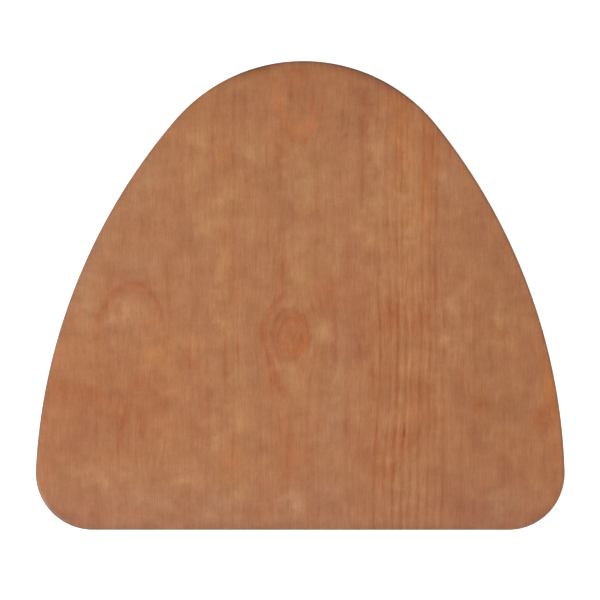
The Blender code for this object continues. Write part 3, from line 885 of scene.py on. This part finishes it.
def table_top():
    """The panel with rounded edges, as rings of points with their distance in from the outline."""
    def ring(inset, height):
        return inset, [Vector((p.x, p.y, height)) for p in top_outline(inset)]

    def face(height):
        rings = [ring(inset, height) for inset in RIM_INSETS]
        inset, inmost = rings[-1]
        middle = Vector((0, 0, height))
        shrunk = [(inset, [middle.lerp(p, share) for p in inmost]) for share in CAP_SHARES]
        return rings + shrunk + [(inset, [middle])]

    rounded = rounding((EDGE_ROUND, TOP_LOW.z + EDGE_ROUND), EDGE_ROUND, 270, 180, ROUND_STEPS)
    rounded += rounding((EDGE_ROUND, TOP_HIGH.z - EDGE_ROUND), EDGE_ROUND, 180, 90, ROUND_STEPS)
    rings = face(TOP_LOW.z)[::-1] + [ring(*section) for section in rounded] + face(TOP_HIGH.z)
    mesh = loft("table_top", [points for _, points in rings], insets=[inset for inset, _ in rings])
    piece("tabletop", mesh, "table_top", [top_face_material(), underside_material()])
    for polygon in mesh.polygons:
        polygon.material_index = 1 if polygon.normal.z < -0.99 else 0


# Legs and what holds them


class Station:
    """Where a leg, its plate and its glide are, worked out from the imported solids."""

    def __init__(self, side):
        plate_low, plate_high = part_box(f"leg_plate_{side}")
        glide_low, glide_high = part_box(f"foot_glide_{side}")
        middle = (plate_low + plate_high) / 2
        foot = (glide_low + glide_high) / 2
        out = (foot - middle).to_2d()
        turn = Matrix.Rotation(math.atan2(out.y, out.x), 4, "Z")
        pad_level = glide_high.z + SEAT_GAP + out.length / math.tan(LEG_SPLAY)
        self.boss_depth = plate_high.z - pad_level
        self.leg_length = out.length / math.sin(LEG_SPLAY)
        self.plate = Matrix.Translation((middle.x, middle.y, plate_high.z)) @ turn
        self.leg = self.plate @ pad_frame(self.boss_depth)
        self.foot = Matrix.Translation((foot.x, foot.y, glide_low.z)) @ turn
        self.glide_thickness = glide_high.z - glide_low.z
        self.glide_radius = (glide_high.x - glide_low.x) / 2


def pad_frame(boss_depth):
    """The leg's frame within its plate's: origin on the pad's lower face, +Z up the leg's axis."""
    return Matrix.Translation((0, 0, -boss_depth)) @ Matrix.Rotation(-LEG_SPLAY, 4, "Y")


def leg_mesh(name, length):
    """A straight taper with a rounded shoulder, whose foot is sawn level with the floor."""
    def ring(share, inset=0.0, lift=0.0):
        radius = LEG_TOP_RADIUS + (LEG_FOOT_RADIUS - LEG_TOP_RADIUS) * share - inset
        points = circle(radius, 0, LEG_STEPS)
        for point in points:
            point.z = lift - share * (length + point.x * math.tan(LEG_SPLAY))
        return points

    centre = (LEG_TOP_RADIUS - LEG_SHOULDER, -SEAT_GAP - LEG_SHOULDER)
    shoulder = rounding(centre, LEG_SHOULDER, 90, 0, ROUND_STEPS)
    rings = [circle(0, -SEAT_GAP, LEG_STEPS)]
    rings += [circle(radius, height, LEG_STEPS) for radius, height in shoulder]
    rings += [ring(i / SHAFT_RINGS) for i in range(1, SHAFT_RINGS)]
    for inset, lift in rounding((LEG_FOOT_EASE, LEG_FOOT_EASE), LEG_FOOT_EASE, 180, 270, ROUND_STEPS):
        rings.append(ring(1, inset, lift))
    return loft(name, rings + [circle(0, -length, LEG_STEPS)])


def leg_material(name, seed):
    """Wood turned from a sawn blank, so the rings run straight on two sides and arch on the others."""
    graph = Graph(name, LACQUERED)
    x, y, z = place = graph.place()
    graph.shade(LEG_STAIN)
    drift = graph.noise(place, (60, 60, 190), seed)
    dx = x - PITH[0] + drift * 2.5
    dy = y - PITH[1] + z / 90
    reach = (dx * dx + dy * dy) ** 0.5
    spacing = graph.noise((reach, 0.5), (14, 1), seed)
    turn = graph.math("FRACT", reach / LEG_RING_SPACING + spacing * 0.5)
    strength = graph.noise((reach, z), (9, 150), seed) * 0.3
    graph.tint(graph.window(turn, (0.3, 0.88), (1.0, 0.92)) * (strength + 1.0), (-7, -17, -18))
    cloud = graph.noise(place, (17, 17, 34), seed, detail=3)
    graph.tint(cloud, (5, 5.5, 4))
    streak = graph.noise(place, (0.8, 0.8, 38), seed, detail=3)
    graph.tint(streak, (5, 6, 6))
    graph.paint(SHEEN)
    graph.gloss(cloud * 0.03)
    graph.relief(streak, LEG_PORE_DEPTH)
    return graph.material


def flange_outline():
    """A rounded square, anticlockwise from the middle of its +X side."""
    straight = PLATE_HALF - PLATE_CORNER_RADIUS
    sweep = math.atan2(straight, PLATE_HALF)
    quarter = []
    for i in range(PLATE_SIDE_STEPS):
        angle = sweep * (2 * i / PLATE_SIDE_STEPS - 1)
        quarter.append(Vector((PLATE_HALF, PLATE_HALF * math.tan(angle))))
    quarter += rounding((straight, straight), PLATE_CORNER_RADIUS, 0, 90, PLATE_CORNER_STEPS)[:-1]
    return [Matrix.Rotation(math.pi / 2 * k, 2) @ point for k in range(4) for point in quarter]


def bend(corner, arriving, leaving, radius):
    """Points of the arc of this radius that joins two directions across their corner."""
    turn = arriving.angle(leaving)
    aside = (leaving - arriving * math.cos(turn)) / math.sin(turn)
    start = corner - arriving * radius * math.tan(turn / 2)
    angles = [turn * i / BEND_STEPS for i in range(BEND_STEPS + 1)]
    return [start + radius * (arriving * math.sin(a) + aside * (1 - math.cos(a))) for a in angles]


def plate_column(edge, boss_depth):
    """The plate's lower face along one bearing: flange, bend, wall, bend, tilted pad, bolt hole."""
    outwards = edge.normalized()
    slope = outwards.x * math.tan(LEG_SPLAY)
    flange_end = Vector((BOSS_RADIUS, -PLATE_THICKNESS))
    pad_end = Vector((PAD_RADIUS, PAD_RADIUS * slope - boss_depth))
    on_flange = Vector((-1, 0))
    on_wall = (pad_end - flange_end).normalized()
    on_pad = Vector((-1, -slope)).normalized()
    bends = bend(flange_end, on_flange, on_wall, BEND_RADIUS)
    bends += bend(pad_end, on_wall, on_pad, BEND_RADIUS + PLATE_THICKNESS)
    column = [(*edge, -PLATE_THICKNESS)]
    column += [(*(outwards * radius), height) for radius, height in bends]
    return column + [pad_frame(boss_depth) @ Vector((*(outwards * BOLT_HOLE_RADIUS), 0))]


def screw_profile(margin=0.0):
    """Radius and height of a screw, point up from its head, or with a margin of the hole for it."""
    shank = SCREW_RADIUS + margin
    head = SCREW_HEAD_RADIUS + margin
    end = SCREW_LENGTH + margin
    mouth = [(head, -SCREW_HEAD_HEIGHT)] if margin else []
    section = [(end, 0), (end - SCREW_TIP_LENGTH, shank), (SCREW_HEAD_HEIGHT, shank), (0, head)]
    profile = [(radius, height) for height, radius in section] + mouth
    return profile + [(0, profile[-1][1])]


def screw_places():
    return [
        Matrix.Translation((x * SCREW_REACH, y * SCREW_REACH, -PLATE_THICKNESS))
        for x, y in ((1, 1), (-1, 1), (-1, -1), (1, -1))
    ]


def plate_mesh(boss_depth):
    """The pressed sheet, with its edges eased and its screw holes countersunk from below."""
    rings = list(zip(*(plate_column(edge, boss_depth) for edge in flange_outline())))
    sheet = reshaped(
        loft("leg_plate", rings, outwards=False),
        ("SOLIDIFY", {"thickness": PLATE_THICKNESS, "offset": 1, "use_even_offset": True}),
        ("BEVEL", {"width": PLATE_EDGE_EASE, "segments": 2, "angle_limit": PLATE_EDGE_ANGLE}),
    )
    hole = turned("screw_hole", screw_profile(SCREW_HOLE_MARGIN), FASTENER_STEPS)
    return cut(sheet, copies("screw_holes", hole, screw_places()))


def screw_mesh():
    """A countersunk screw with a cross recess in its head."""
    mesh = turned("plate_screw", screw_profile(), FASTENER_STEPS)
    for turn in (0, math.pi / 2):
        arm = bmesh.new()
        bmesh.ops.create_cone(
            arm,
            cap_ends=True,
            segments=4,
            radius1=RECESS_MOUTH * math.sqrt(2),
            radius2=RECESS_FLOOR * math.sqrt(2),
            depth=RECESS_DEPTH * 2,
        )
        bmesh.ops.rotate(arm, matrix=Matrix.Rotation(math.pi / 4, 3, "Z"), verts=arm.verts)
        bmesh.ops.scale(arm, vec=(1, RECESS_WIDTH_SHARE, 1), verts=arm.verts)
        bmesh.ops.rotate(arm, matrix=Matrix.Rotation(turn + RECESS_TURN, 3, "Z"), verts=arm.verts)
        mesh = cut(mesh, mesh_of("recess_arm", arm))
    return mesh


def nail_mesh():
    """A glide nail with a slightly domed head, point up."""
    seat = NAIL_SUNK + NAIL_HEAD_THICKNESS
    point = seat + NAIL_LENGTH
    rise = NAIL_HEAD_THICKNESS * NAIL_DOME_SHARE
    angles = [math.pi / 2 * i / DOME_STEPS for i in range(DOME_STEPS, 0, -1)]
    dome = [(NAIL_HEAD_RADIUS * math.sin(a), NAIL_SUNK + rise * (1 - math.cos(a))) for a in angles]
    profile = [(0, point), (NAIL_RADIUS, point - NAIL_TIP_LENGTH), (NAIL_RADIUS, seat)]
    profile += [(NAIL_HEAD_RADIUS, seat), *dome, (0, NAIL_SUNK)]
    return turned("glide_nail", profile, FASTENER_STEPS)


def glide_mesh(radius, thickness):
    """A nylon disc with a rounded foot and a recess for the nail's head."""
    hole = NAIL_RADIUS + GLIDE_HOLE_MARGIN
    recess = NAIL_HEAD_RADIUS + GLIDE_HOLE_MARGIN
    seat = NAIL_SUNK + NAIL_HEAD_THICKNESS + SEAT_GAP
    profile = [(hole, thickness)]
    for centre, size, start in (
        ((radius - GLIDE_FACE_EASE, thickness - GLIDE_FACE_EASE), GLIDE_FACE_EASE, 90),
        ((radius - GLIDE_ROUND, GLIDE_ROUND), GLIDE_ROUND, 0),
    ):
        profile += [tuple(p) for p in rounding(centre, size, start, start - 90, ROUND_STEPS)]
    profile += [(recess + GLIDE_FACE_EASE, 0), (recess, GLIDE_FACE_EASE), (recess, seat), (hole, seat)]
    return turned("foot_glide", profile, GLIDE_STEPS, closed=True)


def zinc_material(name, roughness):
    """Bright zinc plate: a bluish silver with cloudy gloss and fine drawing marks."""
    graph = Graph(name, roughness, metallic=1.0)
    place = graph.place()
    cloud = graph.noise(place, (8, 8, 8), detail=4)
    spangle = graph.noise(place, (1.3, 1.3, 1.3))
    scratch = graph.noise(place, (11, 0.16, 0.16), detail=3)
    graph.shade(ZINC)
    graph.tint(cloud, (7, 6, 3))
    graph.tint(spangle, (4, 4, 5))
    graph.paint()
    graph.gloss(cloud * 0.05 + scratch * 0.03 + spangle * 0.02)
    graph.relief(scratch + cloud * 2, DRAWING_MARK_DEPTH)
    return graph.material


def nylon_material():
    """Natural nylon, scuffed and dirty where it meets the floor."""
    graph = Graph("nylon", NYLON_ROUGHNESS)
    x, y, z = place = graph.place()
    worn = graph.step(z, 1.1, 0.1)
    scuff = graph.noise((x, y), (0.35, 4), detail=4)
    haze = graph.noise(place, (3, 3, 3), detail=3)
    graph.shade(NYLON)
    graph.tint(haze, (3, 3, 4))
    graph.tint(worn * (scuff * 0.5 + 0.9), (-24, -27, -32))
    graph.paint()
    graph.gloss(worn * 0.14 + haze * 0.03)
    graph.relief(scuff * worn + haze * 0.3, SCUFF_DEPTH)
    return graph.material


def legs():
    """The three legs with their plates, screws, glides and nails, and zinc on the solids they hide."""
    pressed = zinc_material("zinc_plated_sheet", SHEET_ROUGHNESS)
    fastener = zinc_material("zinc_plated_fastener", FASTENER_ROUGHNESS)
    nylon = nylon_material()
    first = Station(SIDES[0])
    plate = plate_mesh(first.boss_depth)
    screw = screw_mesh()
    glide = glide_mesh(first.glide_radius, first.glide_thickness)
    nail = nail_mesh()
    for number, side in enumerate(SIDES):
        station = Station(side)
        wood = leg_material(f"stained_leg_{side}", 31.0 * number)
        shaft = leg_mesh(f"leg_{side}", station.leg_length)
        piece(f"turned_leg_{side}", shaft, f"leg_{side}", [wood], station.leg)
        piece(f"pressed_plate_{side}", plate, f"leg_plate_{side}", [pressed], station.plate)
        for count, place in enumerate(screw_places(), 1):
            node = f"plate_screw_{side}_{count}"
            piece(f"screw_{side}_{count}", screw, node, [fastener], station.plate @ place)
        piece(f"glide_{side}", glide, f"foot_glide_{side}", [nylon], station.foot)
        piece(f"nail_{side}", nail, f"glide_nail_{side}", [fastener], station.foot)
        for name in (f"plate_nut_{side}", f"hanger_bolt_{side}"):
            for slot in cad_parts[name].material_slots:
                slot.material = fastener


# Stage


def camera():
    data = bpy.data.cameras.new("camera")
    data.angle = 2 * math.atan(VIEW_WIDTH / 2 / VIEW_DISTANCE)
    obj = linked("camera", data)
    left, front = CAMERA_LEAN
    back = Vector((-math.sin(left), -math.sin(front) * math.cos(left), math.cos(front) * math.cos(left)))
    right = Vector((math.cos(left), 0, math.sin(left)))
    right = (right - back * right.dot(back)).normalized()
    turn = Matrix((right, back.cross(right), back)).transposed().to_4x4()
    aim = Vector((AIM.x, AIM.y, TOP_HIGH.z - EDGE_ROUND))
    roll = Matrix.Rotation(CAMERA_ROLL, 4, "Z")
    obj.matrix_world = Matrix.Translation(aim + back * CAMERA_DISTANCE) @ turn @ roll
    bpy.context.scene.camera = obj


def softbox(name, place, size, power):
    data = bpy.data.lights.new(name, "AREA")
    data.size = size
    data.energy = power
    obj = linked(name, data)
    obj.location = place
    aim = Vector((0, 0, TOP_HIGH.z)) - obj.location
    obj.rotation_euler = aim.to_track_quat("-Z", "Y").to_euler()


def floor():
    shape = bmesh.new()
    bmesh.ops.create_grid(shape, x_segments=1, y_segments=1, size=FLOOR_SIZE / 2)
    mesh = mesh_of("floor", shape)
    graph = Graph("pale_floor", FLOOR_ROUGHNESS)
    for socket in ("Base Color", "Emission Color"):
        graph.shader.inputs[socket].default_value = (FLOOR_ALBEDO, FLOOR_ALBEDO, FLOOR_ALBEDO, 1)
    graph.shader.inputs["Emission Strength"].default_value = FLOOR_GLOW
    mesh.materials.append(graph.material)
    obj = linked("floor", mesh)


def studio():
    world = bpy.data.worlds.new("studio")
    world.use_nodes = True
    backdrop = world.node_tree.nodes["Background"]
    backdrop.inputs["Color"].default_value = (1, 1, 1, 1)
    backdrop.inputs["Strength"].default_value = WORLD_STRENGTH
    scene = bpy.context.scene
    scene.world = world
    scene.view_settings.view_transform = "Standard"
    softbox("overhead_softbox", **OVERHEAD)
    softbox("key_softbox", **KEY)
    softbox("fill_softbox", **FILL)
    floor()


camera()
studio()
table_top()
legs()
